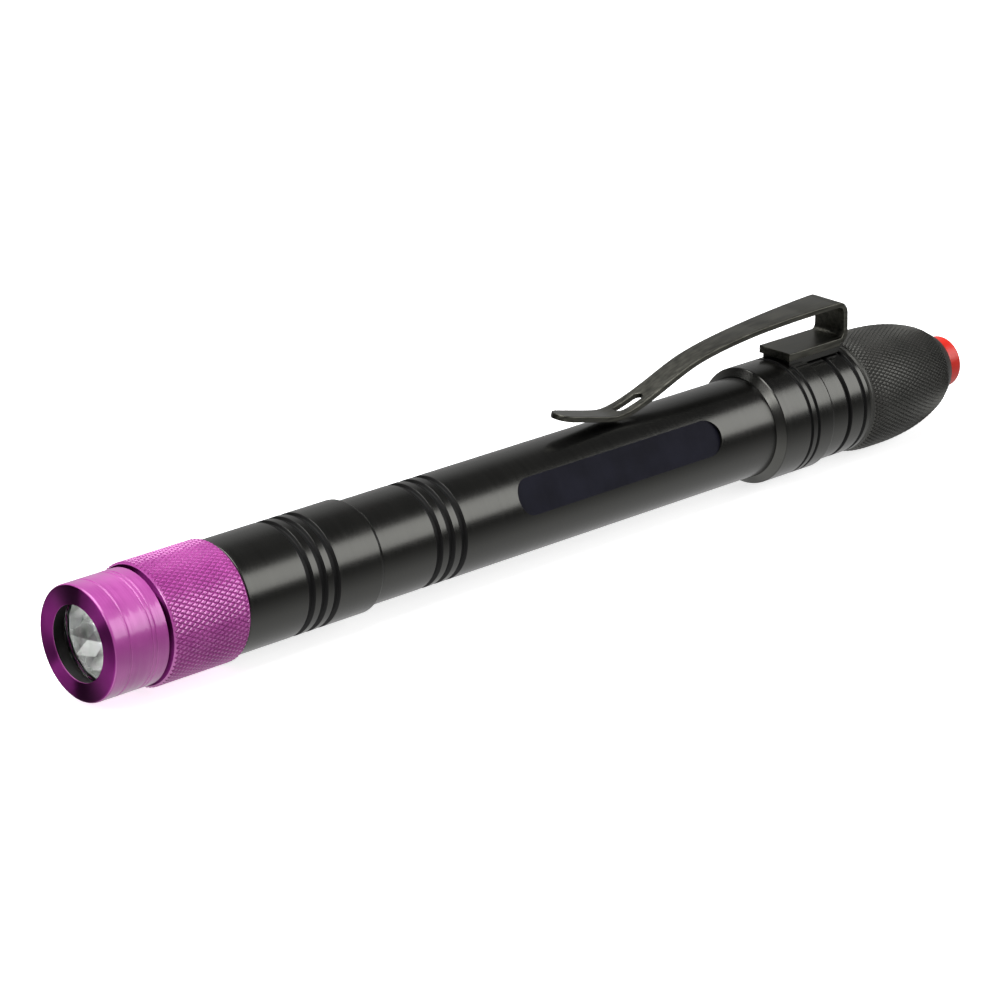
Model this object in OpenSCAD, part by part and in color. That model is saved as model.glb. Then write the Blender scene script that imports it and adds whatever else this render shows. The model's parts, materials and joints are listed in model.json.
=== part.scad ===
// Ultraviolet penlight for checking banknotes.
// The pen lies along X: head at -X, push button at +X, pocket clip up at +Z.
// Every "station" is a distance in mm from the front face of the head, along the pen.
// Screw threads are plain cylinders with a running clearance.

/* [Pen] */
// Length from the front face to the top of the push button
pen_length = 140.9; // [139.9:0.1:142.5]
// Clearance on the radius between parts that turn or slide in each other
running_gap = 0.05; // [0.02:0.01:0.1]

/* [Head] */
// Length of the violet head bezel
bezel_length = 18.65; // [18.2:0.05:18.9]
// Radius of the plain front lip, on which a slip-on cap fits
lip_radius = 6.69; // [6.5:0.01:6.9]
// Station where the plain front lip ends
lip_end = 7.35; // [6.8:0.05:7.6]
// Width of the undercut between the lip and the grip
undercut_width = 0.5; // [0.4:0.05:0.9]
// Radius at the bottom of the undercut
undercut_radius = 6; // [5.95:0.05:6.4]
// Radius over the knurled grip of the head
grip_radius = 7.12; // [7:0.02:7.3]
// Radius of the light opening in the front face
opening_radius = 4.4; // [4.2:0.05:4.7]
// Depth from the front face to the clear window
window_depth = 2; // [1.6:0.1:2.2]
// Thickness of the clear window
window_thickness = 1.8; // [1.2:0.1:2]
// Radius of the clear window
window_radius = 5.6; // [5.4:0.05:5.62]

/* [Front tube] */
// Station of the joint between the front tube and the main barrel
joint_station = 38.65; // [38:0.05:39.5]
// Radius of the front tube
front_tube_radius = 6.73; // [6.6:0.01:6.85]
// Stations of the middle of each groove on the front tube
front_groove_stations = [27.6, 29.45, 31.3];

/* [Main barrel] */
// Radius of the main barrel
barrel_radius = 6.25; // [6.2:0.01:6.35]
// Radius of the bore that holds the batteries
barrel_bore = 5.5; // [5.4:0.02:5.55]
// Stations of the middle of each groove on the main barrel
barrel_groove_stations = [47.15, 49.05, 50.95];
// Width of every turned groove
groove_width = 0.9; // [0.6:0.05:1]
// Depth of every turned groove
groove_depth = 0.34; // [0.2:0.02:0.36]
// Station where the flat label panel starts
panel_start = 60.1; // [56:0.1:64]
// Length of the flat label panel
panel_length = 33.5; // [28:0.1:36]
// Width of the flat label panel
panel_width = 4.5; // [4:0.1:4.6]
// Angle from the pocket clip round to the label panel
panel_angle = 64; // [50:1:90]

/* [Tail] */
// Station where the tail sleeve starts, at its front step
sleeve_start = 102.7; // [102.4:0.1:103]
// Station where the sleeve ends and the screwed tail cap starts
sleeve_end = 119.1; // [118.9:0.05:119.2]
// Radius of the sleeve's wide collar
collar_radius = 7.35; // [7.3:0.01:7.4]
// Station where the wide collar ends
collar_end = 112.2; // [112:0.1:112.6]
// Radius of the sleeve behind the collar
waist_radius = 6.95; // [6.9:0.01:7]
// Largest radius of the knurled tail cap
cap_radius = 7.45; // [7.42:0.01:7.6]
// Station of the rear end of the tail cap
cap_end = 137.6; // [137.4:0.1:138]
// Radius of the push button
button_radius = 3.3; // [3.1:0.05:3.5]
// How far the push button travels
button_travel = 1.8; // [1:0.1:2]

/* [Pocket clip] */
// Thickness of the clip's spring steel
clip_thickness = 0.7; // [0.5:0.05:0.8]
// Width of the clip at its foot
foot_width = 5.2; // [5:0.1:5.4]
// Width of the clip in the middle of its arm
arm_width = 3.4; // [3:0.1:3.8]
// Station of the front end of the clip's foot
foot_start = 108.7; // [108.4:0.1:109]
// Height of the foot's top above the pen's axis
foot_top = 8.65; // [8.5:0.05:8.8]
// Height of the arm's top above the pen's axis, at the bend
arm_top = 13.3; // [13:0.1:13.6]
// Station where the arm comes closest to the barrel
touch_station = 80.3; // [79:0.1:81.5]
// Gap left between the resting arm and the barrel
touch_gap = 0.35; // [0.3:0.05:0.6]
// Station of the clip's tip
tip_station = 71.2; // [70:0.1:73]

/* [Batteries] */
// Radius of one AAA cell
cell_radius = 5.25; // [5:0.05:5.25]
// Length of one AAA cell, with its plus terminal
cell_length = 44.5; // [43.3:0.1:44.5]

/* [Hidden] */
$fn = 96;

violet = [0.55, 0.20, 0.52];
black_metal = [0.07, 0.07, 0.08];
dark_steel = [0.25, 0.25, 0.24];
bright_steel = [0.75, 0.75, 0.76];
brass = [0.80, 0.62, 0.30];
black_rubber = [0.03, 0.03, 0.03];
dark_plastic = [0.12, 0.12, 0.13];
button_red = [0.90, 0.16, 0.12];

// The axis lies as high as the widest part of the pen, so the pen rests on Z = 0.
axis_height = cap_radius;

// How far the sides of a turned groove slope
groove_slope = 0.12;

// Head: the stack of parts behind the window
grip_start = lip_end + undercut_width;
head_bore = window_radius + running_gap;
lip_rounding = 0.35;
seal_start = 0.5;
seal_inner = window_radius - 0.75;
window_end = window_depth + window_thickness;
thread_start = 9.4;
thread_radius = 6.0;
module_radius = 5.3;
module_start = 10.0;
module_end = 22.5;
module_bore = 4.9;
led_tip = 5.6;
led_radius = 2.5;
led_flange_start = 13.2;
board_start = 14.4;
board_end = 15.4;
insulator_start = 19.5;
contact_hole = 2.2;

// Batteries: the plus terminals face the head
front_cell_start = 25.5;
rear_cell_start = front_cell_start + cell_length;
cells_end = rear_cell_start + cell_length;
terminal_radius = 1.9;
terminal_length = 0.9;

// Where the barrel's ends go into their neighbours
spigot_radius = 6.1;
glue_gap = 0.02;
front_spigot_start = 32.4;
rear_spigot_end = 113.4;
cap_spigot_start = cells_end + 0.4;
cap_spigot_radius = 5.95;
cap_spigot_bore = 4.95;
sleeve_fine_grooves = [108.05, 109.25];
sleeve_ribs = [115.3, 118.3];

// Switch: stations inside the tail cap
spring_end = 118.9;
plate_end = 119.4;
switch_radius = 4.6;
button_flange_end = 131.1;
button_flange_start = button_flange_end - 1.5;
button_flange_radius = 4.1;
switch_end = button_flange_start - button_travel - 0.2;
plunger_radius = 1.4;
plunger_collar_end = switch_end - 1;
plunger_start = plunger_collar_end - 1.4;
plunger_collar_radius = 2.4;
contact_disc_end = plate_end + 1.7;
spring_gap = 0.02;

// Clip: centre line of the strip, from the bend to the tip, as [station, height]
half_strip = clip_thickness / 2;
bend_centre = 118.95;
bend_radius = 1.3;
foot_bend_radius = 1.0;
foot_depth = 1.85;
split_height = 10.6;
arm_high = arm_top - half_strip;
arm_low = barrel_radius + touch_gap + half_strip;
tip_height = arm_low + 1.95;
knee = [92, 10.4];
curve_steps = 10;

function bezier(a, b, c, d, t) =
    pow(1 - t, 3) * a + 3 * t * pow(1 - t, 2) * b + 3 * t * t * (1 - t) * c + pow(t, 3) * d;
function curve(a, b, c, d) =
    [for (i = [1 : curve_steps]) bezier(a, b, c, d, i / curve_steps)];
function arc(centre, radius, from, to, steps) =
    [for (i = [0 : steps]) let (angle = from + (to - from) * i / steps)
        centre + radius * [cos(angle), sin(angle)]];

arm_start = [bend_centre - bend_radius, arm_high];
touch_point = [touch_station, arm_low];
arm_line = concat(
    [[bend_centre, split_height]],
    arc([bend_centre - bend_radius, arm_high - bend_radius], bend_radius, 0, 90, 6),
    curve(arm_start, [104, 12.75], knee + [3.5, 1.2], knee),
    curve(knee, knee - [3.4, 1.05], [84, arm_low + 0.15], touch_point),
    curve(touch_point, touch_point - [1.2, 0], [78, arm_low + 0.35], [tip_station, tip_height])
);
foot_line = concat(
    arc([bend_centre - foot_bend_radius, foot_top - half_strip + foot_bend_radius],
        foot_bend_radius, -90, 0, 6),
    [[bend_centre, split_height]]
);

// Offsets a centre line sideways by the given distance, to make the strip's outline.
function direction(line, i) =
    let (a = line[max(i - 1, 0)], b = line[min(i + 1, len(line) - 1)]) (b - a) / norm(b - a);
function side(line, distance) =
    [for (i = [0 : len(line) - 1]) let (along = direction(line, i))
        line[i] + distance * [-along[1], along[0]]];
function reversed(list) = [for (i = [len(list) - 1 : -1 : 0]) list[i]];
function strip_outline(line) =
    concat(side(line, half_strip), reversed(side(line, -half_strip)));

// Moves a part from the pen's own stations to the model's frame.
module on_pen() {
    translate([-pen_length / 2, 0, axis_height]) children();
}

// Turns an outline of [radius, station] points round the pen's axis.
module turned(points) {
    rotate([0, 90, 0]) rotate_extrude() polygon(points);
}

// A plain turned ring or disc between two stations.
module ring(outer, inner, from, to) {
    turned([[inner, from], [outer, from], [outer, to], [inner, to]]);
}

// Outline points of grooves with sloped sides, for a part of the given radius.
function grooves(stations, radius, width, depth) = [for (station = stations) each [
    [radius, station - width / 2],
    [radius - depth, station - width / 2 + groove_slope],
    [radius - depth, station + width / 2 - groove_slope],
    [radius, station + width / 2]
]];

// A strip of the given side outline, as wide as the clip's foot.
module clip_strip(outline) {
    rotate([90, 0, 0]) linear_extrude(height = foot_width, center = true) polygon(outline);
}

// A coil spring along the pen's axis, whose radius changes from one end to the other.
module coil(from, to, first_radius, last_radius, wire_radius, turns) {
    steps = turns * 14;
    sides = 6;
    points = [for (i = [0 : steps], j = [0 : sides - 1])
        let (
            part = i / steps,
            turn = 360 * turns * part,
            around = 360 * j / sides,
            radius = first_radius + (last_radius - first_radius) * part
                + wire_radius * cos(around),
            station = from + wire_radius + (to - from - 2 * wire_radius) * part
                + wire_radius * sin(around)
        ) [station, radius * cos(turn), radius * sin(turn)]];
    walls = [for (i = [0 : steps - 1], j = [0 : sides - 1])
        let (a = i * sides + j, b = i * sides + (j + 1) % sides)
        [a, b, b + sides, a + sides]];
    start_cap = [[for (j = [0 : sides - 1]) sides - 1 - j]];
    end_cap = [[for (j = [0 : sides - 1]) steps * sides + j]];
    polyhedron(points, concat(walls, start_cap, end_cap), convexity = 10);
}

// One AAA cell with its plus terminal at the given station.
module cell(from) {
    can = from + terminal_length;
    to = from + cell_length;
    turned([
        [0, from], [terminal_radius - 0.2, from], [terminal_radius, from + 0.2],
        [terminal_radius, can], [cell_radius - 0.5, can], [cell_radius, can + 0.5],
        [cell_radius, to - 0.3], [cell_radius - 0.3, to], [0, to]
    ]);
}

// Head bezel: rounded lip, undercut, knurled grip and the bore for window and thread.
module head_bezel() {
    lip_round = [for (i = [0 : 6]) let (angle = 15 * i)
        [lip_radius - lip_rounding * (1 - sin(angle)), lip_rounding * (1 - cos(angle))]];
    color(violet) on_pen() turned(concat(
        [[opening_radius, 0]],
        lip_round,
        [
            [lip_radius, lip_end], [undercut_radius, lip_end],
            [undercut_radius, grip_start], [grip_radius - 0.25, grip_start],
            [grip_radius, grip_start + 0.3], [grip_radius, bezel_length - 0.3],
            [grip_radius - 0.25, bezel_length],
            [thread_radius + running_gap, bezel_length],
            [thread_radius + running_gap, thread_start], [head_bore, thread_start],
            [head_bore, seal_start], [seal_inner, seal_start], [opening_radius, 0.12]
        ]
    ));
}

module window_seal() {
    color(black_rubber) on_pen() ring(window_radius, seal_inner, seal_start, window_depth);
}

module front_window() {
    color("white", 0.35) on_pen() turned([
        [0, window_depth], [window_radius - 0.2, window_depth],
        [window_radius, window_depth + 0.2], [window_radius, window_end], [0, window_end]
    ]);
}

// Reflector: a cup with a neck that the LED stands in.
module reflector() {
    rim = window_radius - 0.08;
    start = window_end;
    color(bright_steel) on_pen() turned([
        [rim - 0.35, start], [rim, start], [rim, module_start - 0.4],
        [3.4, module_start - 0.4], [3.4, led_flange_start - 0.3],
        [led_radius + 0.1, led_flange_start - 0.3], [led_radius + 0.1, 9.4],
        [3.35, 8.4], [4.1, 7.0], [4.75, 5.6]
    ]);
}

// Five-millimetre LED with a domed lens, a flange and two legs.
module uv_led() {
    dome = [for (i = [0 : 8]) let (angle = 90 * i / 8)
        [led_radius * sin(angle), led_tip + led_radius * (1 - cos(angle))]];
    color("lavender", 0.5) on_pen() {
        turned(concat(dome, [
            [led_radius, led_flange_start], [2.9, led_flange_start],
            [2.9, led_flange_start + 1], [0, led_flange_start + 1]
        ]));
        for (across = [-1.27, 1.27])
            translate([led_flange_start + 0.8, across - 0.25, -0.25]) cube([1.8, 0.5, 0.5]);
    }
}

// Round circuit board with two holes for the LED's legs.
module led_board() {
    color("seagreen") on_pen() difference() {
        ring(module_bore - 0.05, 0, board_start, board_end);
        for (across = [-1.27, 1.27])
            translate([board_start - 1, across - 0.35, -0.35]) cube([3, 0.7, 0.7]);
    }
}

// Resistors and the driver chip on the rear face of the board.
module driver_parts() {
    color(dark_plastic) on_pen() {
        translate([board_end, -1.2, 1.1]) cube([1.1, 2.4, 2]);
        for (across = [-1.7, 0.9])
            translate([board_end, across, -3]) cube([0.6, 0.8, 1.6]);
    }
}

// Brass pill that carries the board, with a front wall round the reflector's neck.
module module_housing() {
    color(brass) on_pen() turned([
        [3.5, module_start], [module_radius, module_start], [module_radius, module_end],
        [module_bore, module_end], [module_bore, module_start + 1], [3.5, module_start + 1]
    ]);
}

module front_insulator() {
    color(dark_plastic) on_pen() ring(module_bore, contact_hole, insulator_start, module_end);
}

// Plus contact: a headed pin that stands out of the insulator and touches the cell.
module front_contact() {
    color(brass) on_pen() turned([
        [0, insulator_start - 1.6], [3.2, insulator_start - 1.6], [3.2, insulator_start],
        [contact_hole, insulator_start], [contact_hole, front_cell_start - 0.3],
        [contact_hole - 0.3, front_cell_start], [0, front_cell_start]
    ]);
}

module head_o_ring() {
    color(black_rubber) on_pen() rotate([0, 90, 0]) rotate_extrude()
        translate([thread_radius - 0.3, bezel_length - 0.8]) circle(r = 0.3);
}

// Front tube: threaded nose for the bezel, three grooves, and a socket for the barrel.
module front_tube() {
    o_ring_start = bezel_length - 1.1;
    o_ring_end = bezel_length - 0.5;
    shoulder = bezel_length + 0.1;
    color(black_metal) on_pen() turned(concat(
        [
            [module_radius + running_gap, module_start],
            [thread_radius - 0.2, module_start], [thread_radius, module_start + 0.3],
            [thread_radius, o_ring_start], [thread_radius - 0.6, o_ring_start],
            [thread_radius - 0.6, o_ring_end], [thread_radius, o_ring_end],
            [thread_radius, shoulder], [front_tube_radius - 0.15, shoulder],
            [front_tube_radius, shoulder + 0.15]
        ],
        grooves(front_groove_stations, front_tube_radius, groove_width, groove_depth),
        [
            [front_tube_radius, joint_station - 0.6], [barrel_radius + 0.05, joint_station],
            [spigot_radius + glue_gap, joint_station],
            [spigot_radius + glue_gap, front_spigot_start],
            [barrel_bore, front_spigot_start], [barrel_bore, module_end + 0.5],
            [module_radius + running_gap, module_end + 0.5]
        ]
    ));
}

// Main barrel: a spigot at each end, three grooves and a flat panel with round ends.
module main_barrel() {
    panel_height = sqrt(pow(barrel_radius, 2) - pow(panel_width / 2, 2));
    color(black_metal) on_pen() difference() {
        turned(concat(
            [
                [barrel_bore, front_spigot_start], [spigot_radius, front_spigot_start],
                [spigot_radius, joint_station], [barrel_radius, joint_station]
            ],
            grooves(barrel_groove_stations, barrel_radius, groove_width, groove_depth),
            [
                [barrel_radius, sleeve_start], [spigot_radius, sleeve_start],
                [spigot_radius, rear_spigot_end], [barrel_bore, rear_spigot_end]
            ]
        ));
        rotate([panel_angle, 0, 0]) translate([0, 0, panel_height])
            panel_cut();
    }
}

// The tool path of the label panel: a straight slot with round ends.
module panel_cut() {
    end_radius = panel_width / 2;
    linear_extrude(height = 3) {
        translate([panel_start + end_radius, -end_radius])
            square([panel_length - panel_width, panel_width]);
        translate([panel_start + end_radius, 0]) circle(r = end_radius);
        translate([panel_start + panel_length - end_radius, 0]) circle(r = end_radius);
    }
}

module battery_front() {
    color("goldenrod") on_pen() cell(front_cell_start);
}

module battery_rear() {
    color("goldenrod") on_pen() cell(rear_cell_start);
}

// Tail sleeve: fixed on the barrel, with a stepped collar, a pocket for the clip's foot
// and a threaded socket for the tail cap.
module tail_sleeve() {
    color(black_metal) on_pen() difference() {
        turned(concat(
            [
                [spigot_radius + glue_gap, sleeve_start], [barrel_radius + 0.1, sleeve_start],
                [collar_radius - 0.1, sleeve_start + 0.6], [collar_radius, sleeve_start + 0.8]
            ],
            grooves(sleeve_fine_grooves, collar_radius, 0.6, 0.25),
            [[collar_radius, collar_end - 0.3], [waist_radius, collar_end + 0.1]],
            grooves(sleeve_ribs, waist_radius, 0.6, 0.3),
            [
                [waist_radius, sleeve_end - 0.1], [waist_radius - 0.1, sleeve_end],
                [cap_spigot_radius + running_gap, sleeve_end],
                [cap_spigot_radius + running_gap, rear_spigot_end],
                [spigot_radius + glue_gap, rear_spigot_end]
            ]
        ));
        translate([foot_start, -foot_width / 2, foot_top - foot_depth])
            cube([sleeve_end - foot_start + 1, foot_width, foot_depth]);
    }
}

// Clip foot: a plate in the sleeve's pocket and the lower half of the bend.
module clip_foot() {
    color(dark_steel) on_pen() {
        translate([foot_start, -foot_width / 2, foot_top - foot_depth])
            cube([bend_centre - foot_bend_radius - foot_start, foot_width, foot_depth]);
        clip_strip(strip_outline(foot_line));
    }
}

// Clip arm: the upper half of the bend and the long arm, narrowed in plan.
module clip_arm() {
    plan = [[bend_centre + 1, foot_width / 2 - 0.1], [bend_centre - 3, foot_width / 2 - 0.25],
        [103, arm_width / 2 + 0.1], [90, arm_width / 2], [tip_station + 1.8, arm_width / 2]];
    mirrored_plan = [for (i = [len(plan) - 1 : -1 : 0]) [plan[i][0], -plan[i][1]]];
    color(dark_steel) on_pen() difference() {
        intersection() {
            clip_strip(strip_outline(arm_line));
            linear_extrude(height = 20) {
                polygon(concat(plan, mirrored_plan));
                translate([tip_station + 1.75, 0]) circle(r = arm_width / 2);
            }
        }
        linear_extrude(height = 12) {
            translate([81.8, -0.7]) square([3, 1.4]);
            translate([81.8, 0]) circle(r = 0.7);
            translate([84.8, 0]) circle(r = 0.7);
        }
    }
}

// Tail cap: threaded spigot, convex knurled body, switch bore and button hole.
module tail_cap() {
    front = sleeve_end + 0.08;
    o_ring_start = sleeve_end - 1.2;
    o_ring_end = sleeve_end - 0.7;
    color(black_metal) on_pen() turned([
        [cap_spigot_bore, cap_spigot_start], [cap_spigot_radius, cap_spigot_start],
        [cap_spigot_radius, o_ring_start], [cap_spigot_radius - 0.5, o_ring_start],
        [cap_spigot_radius - 0.5, o_ring_end], [cap_spigot_radius, o_ring_end],
        [cap_spigot_radius, front], [waist_radius - 0.1, front],
        [waist_radius + 0.1, front + 0.2], [7.25, 120.3], [7.4, 121.4],
        [cap_radius, 122.6], [cap_radius, 124.6], [7.38, 127], [7.2, 129], [6.85, 130.9],
        [6.3, 132.9], [5.6, 134.9], [4.9, 136.4], [4.4, 137.2], [4.1, cap_end],
        [button_radius + running_gap, cap_end],
        [button_radius + running_gap, button_flange_end],
        [button_flange_radius + 0.1, button_flange_end],
        [button_flange_radius + 0.1, switch_end],
        [switch_radius, switch_end], [switch_radius, plate_end],
        [cap_spigot_bore, plate_end]
    ]);
}

module tail_o_ring() {
    color(black_rubber) on_pen() rotate([0, 90, 0]) rotate_extrude()
        translate([cap_spigot_radius - 0.25, sleeve_end - 0.95]) circle(r = 0.25);
}

// Minus contact: a coil spring that presses the cells forward.
module battery_spring() {
    color(bright_steel) on_pen()
        coil(cells_end, spring_end, 2.6, 4.0, 0.3, 4);
}

module spring_plate() {
    color(bright_steel) on_pen() ring(cap_spigot_bore - 0.1, 0, spring_end, plate_end);
}

// Ring that holds the plate and the switch in the tail cap.
module switch_retainer() {
    color(brass) on_pen() ring(cap_spigot_bore, 4.55, spring_end - 1.6, spring_end);
}

// Switch housing: a cup open to the rear, with a guide ring for the plunger.
module switch_housing() {
    color(dark_plastic) on_pen() difference() {
        ring(switch_radius, 0, plate_end, switch_end);
        ring(3, 0, plate_end + 1.2, plunger_collar_end);
        ring(plunger_radius + running_gap, 0, switch_end - 2, switch_end + 1);
        ring(0.8, 0, plate_end - 1, plate_end + 2);
    }
}

// Rivet and contact disc in the front wall of the switch housing.
module switch_contact() {
    color(brass) on_pen() turned([
        [0, plate_end], [0.75, plate_end], [0.75, plate_end + 1.2],
        [2.6, plate_end + 1.2], [2.6, contact_disc_end], [0, contact_disc_end]
    ]);
}

module switch_spring() {
    color(bright_steel) on_pen()
        coil(contact_disc_end, plunger_start - spring_gap, 1.9, 1.9, 0.2, 4);
}

// Plunger: a collar that the spring pushes on and a stem that reaches the button.
module switch_plunger() {
    color("ivory") on_pen() turned([
        [0, plunger_start], [plunger_collar_radius, plunger_start],
        [plunger_collar_radius, plunger_collar_end], [plunger_radius, plunger_collar_end],
        [plunger_radius, button_flange_start], [0, button_flange_start]
    ]);
}

// Push button: a flange that keeps it in the cap and a stem with a domed top.
module push_button() {
    dome_depth = 0.9;
    dome = [for (i = [0 : 8]) let (angle = 90 * i / 8)
        [button_radius * cos(angle), pen_length - dome_depth * (1 - sin(angle))]];
    color(button_red) on_pen() turned(concat([
        [0, button_flange_start], [button_flange_radius, button_flange_start],
        [button_flange_radius, button_flange_end], [button_radius, button_flange_end]
    ], dome));
}

head_bezel();
window_seal();
front_window();
reflector();
uv_led();
led_board();
driver_parts();
module_housing();
front_insulator();
front_contact();
head_o_ring();
front_tube();
main_barrel();
battery_front();
battery_rear();
tail_sleeve();
clip_foot();
clip_arm();
tail_cap();
tail_o_ring();
battery_spring();
spring_plate();
switch_retainer();
switch_housing();
switch_contact();
switch_spring();
switch_plunger();
push_button();
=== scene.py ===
"""Looks of a slim ultraviolet penlight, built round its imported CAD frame.

Stations are distances in millimetres from the front face of the head, along the pen.
Radii and heights are in millimetres from the pen's axis. place() turns them into the frame's metres.
"""
import json
import math

import bmesh
import bpy
import numpy as np
from mathutils import Matrix, Vector


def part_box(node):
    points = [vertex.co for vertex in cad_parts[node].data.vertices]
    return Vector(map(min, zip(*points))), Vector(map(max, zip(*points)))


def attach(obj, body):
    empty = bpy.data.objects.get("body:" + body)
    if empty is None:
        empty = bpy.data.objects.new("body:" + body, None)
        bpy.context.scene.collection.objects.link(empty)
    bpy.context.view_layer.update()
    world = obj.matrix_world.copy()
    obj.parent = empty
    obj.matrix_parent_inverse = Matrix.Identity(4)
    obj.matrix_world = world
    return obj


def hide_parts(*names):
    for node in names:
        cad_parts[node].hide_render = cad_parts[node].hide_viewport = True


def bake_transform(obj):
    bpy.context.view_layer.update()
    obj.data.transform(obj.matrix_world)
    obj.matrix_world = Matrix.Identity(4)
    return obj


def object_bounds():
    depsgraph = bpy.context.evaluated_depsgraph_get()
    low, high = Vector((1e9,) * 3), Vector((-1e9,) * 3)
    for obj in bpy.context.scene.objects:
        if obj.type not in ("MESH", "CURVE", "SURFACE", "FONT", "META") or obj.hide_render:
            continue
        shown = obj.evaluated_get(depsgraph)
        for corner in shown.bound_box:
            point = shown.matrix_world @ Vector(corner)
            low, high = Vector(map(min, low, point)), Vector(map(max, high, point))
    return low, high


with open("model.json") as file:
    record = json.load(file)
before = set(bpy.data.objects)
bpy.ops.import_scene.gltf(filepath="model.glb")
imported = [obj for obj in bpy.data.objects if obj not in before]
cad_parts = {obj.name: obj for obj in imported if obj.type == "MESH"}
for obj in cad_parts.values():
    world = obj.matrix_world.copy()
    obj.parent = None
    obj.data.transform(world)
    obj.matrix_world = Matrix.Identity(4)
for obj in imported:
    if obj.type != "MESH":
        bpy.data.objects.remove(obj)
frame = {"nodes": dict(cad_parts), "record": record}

MM = 0.001
cad_low, cad_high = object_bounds()

# ---------------------------------------------------------------- places taken from the frame

head_low, head_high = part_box("head_bezel")
FACE_X = head_low.x
AXIS_Z = (head_low.z + head_high.z) / 2


def place(station, y=0.0, height=0.0):
    """A point of the pen in the frame's metres."""
    return Vector((FACE_X + station * MM, y * MM, AXIS_Z + height * MM))


def station_low(node):
    return (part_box(node)[0].x - FACE_X) / MM


def station_high(node):
    return (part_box(node)[1].x - FACE_X) / MM


def radius_of(node):
    low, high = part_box(node)
    return (high.y - low.y) / 2 / MM


HEAD_END = station_high("head_bezel")
GRIP_RADIUS = radius_of("head_bezel")
JOINT = station_high("front_tube")
FRONT_RADIUS = radius_of("front_tube")
BARREL_RADIUS = radius_of("main_barrel")
SLEEVE_START = station_low("tail_sleeve")
SLEEVE_END = station_high("tail_sleeve")
COLLAR_RADIUS = radius_of("tail_sleeve")
CAP_START = station_low("tail_cap")
CAP_END = station_high("tail_cap")
BUTTON_START = station_low("push_button")
PEN_END = station_high("push_button")
SEGMENTS = 216
SHARP_ANGLE = 32.0
CLIP_SHARP_ANGLE = 38.0
GROOVE_SLOPE = 0.22
GROOVE_DEPTH = 0.34

# ---------------------------------------------------------------- turned parts


def rounded(points, steps=5):
    """An outline with its corners rounded.

    A point is (radius, station) or (radius, station, fillet).
    """
    result = []
    count = len(points)
    for i, point in enumerate(points):
        here = Vector(point[:2])
        fillet = point[2] if len(point) > 2 else 0.0
        if fillet == 0.0 or i in (0, count - 1):
            result.append(here)
            continue
        before = Vector(points[i - 1][:2]) - here
        after = Vector(points[i + 1][:2]) - here
        reach = min(fillet, 0.45 * before.length, 0.45 * after.length)
        start = here + before.normalized() * reach
        end = here + after.normalized() * reach
        for step in range(steps + 1):
            t = step / steps
            result.append((1 - t) ** 2 * start + 2 * t * (1 - t) * here + t * t * end)
    return result


def supported(outline, margin=0.07, longest=2.5):
    """Adds points near both ends of each long stretch, and along it, to keep smooth shading even."""
    result = [outline[0]]
    for a, b in zip(outline, outline[1:]):
        along = b - a
        if along.length > 5 * margin:
            first, last = a + along.normalized() * margin, b - along.normalized() * margin
            steps = math.ceil((last - first).length / longest)
            result += [first.lerp(last, k / steps) for k in range(steps + 1)]
        result.append(b)
    return result


def groove(station, width, depth, radius, fillet=0.06):
    """Outline points of one turned groove with slightly sloped sides."""
    slope = GROOVE_SLOPE * width
    return [
        (radius, station - width / 2, fillet),
        (radius - depth, station - width / 2 + slope, fillet),
        (radius - depth, station + width / 2 - slope, fillet),
        (radius, station + width / 2, fillet),
    ]


def ring_points(radius, station, segments=SEGMENTS):
    for k in range(segments):
        angle = 2 * math.pi * k / segments
        yield place(station, radius * math.sin(angle), radius * math.cos(angle))


def add_rings(bm, outline, segments=SEGMENTS):
    """One ring of vertices for each outline point. A point on the axis gives a single vertex."""
    rings = []
    for radius, station in outline:
        if radius < 1e-6:
            rings.append([bm.verts.new(place(station))])
        else:
            rings.append([bm.verts.new(p) for p in ring_points(radius, station, segments)])
    return rings


def join_rings(bm, first, second):
    """Quads between two rings, or a fan where one of them is a single vertex."""
    count = max(len(first), len(second))
    for k in range(count):
        after = (k + 1) % count
        if len(first) == 1:
            bm.faces.new((first[0], second[after], second[k]))
        elif len(second) == 1:
            bm.faces.new((first[k], first[after], second[0]))
        else:
            bm.faces.new((first[k], first[after], second[after], second[k]))


def join_chain(bm, rings):
    for first, second in zip(rings, rings[1:]):
        join_rings(bm, first, second)


def finished(bm, name, sharp_angle=SHARP_ANGLE):
    """Turns a bmesh into a smooth-shaded object whose corners stay sharp."""
    flat = [not face.smooth for face in bm.faces]
    bmesh.ops.recalc_face_normals(bm, faces=bm.faces[:])
    mesh = bpy.data.meshes.new(name)
    bm.to_mesh(mesh)
    bm.free()
    mesh.set_sharp_from_angle(angle=math.radians(sharp_angle))
    mesh.polygons.foreach_set("use_smooth", [not f for f in flat])
    piece = bpy.data.objects.new(name, mesh)
    bpy.context.scene.collection.objects.link(piece)
    return piece


def smooth_faces(bm):
    for face in bm.faces:
        face.smooth = True


def lathe(name, outline, segments=SEGMENTS, closed=True):
    """A turned piece.

    A closed outline goes round a bore, and an open one starts and ends on the axis.
    """
    bm = bmesh.new()
    rings = add_rings(bm, outline, segments)
    join_chain(bm, rings)
    if closed:
        join_rings(bm, rings[-1], rings[0])
    smooth_faces(bm)
    return finished(bm, name)


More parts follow.
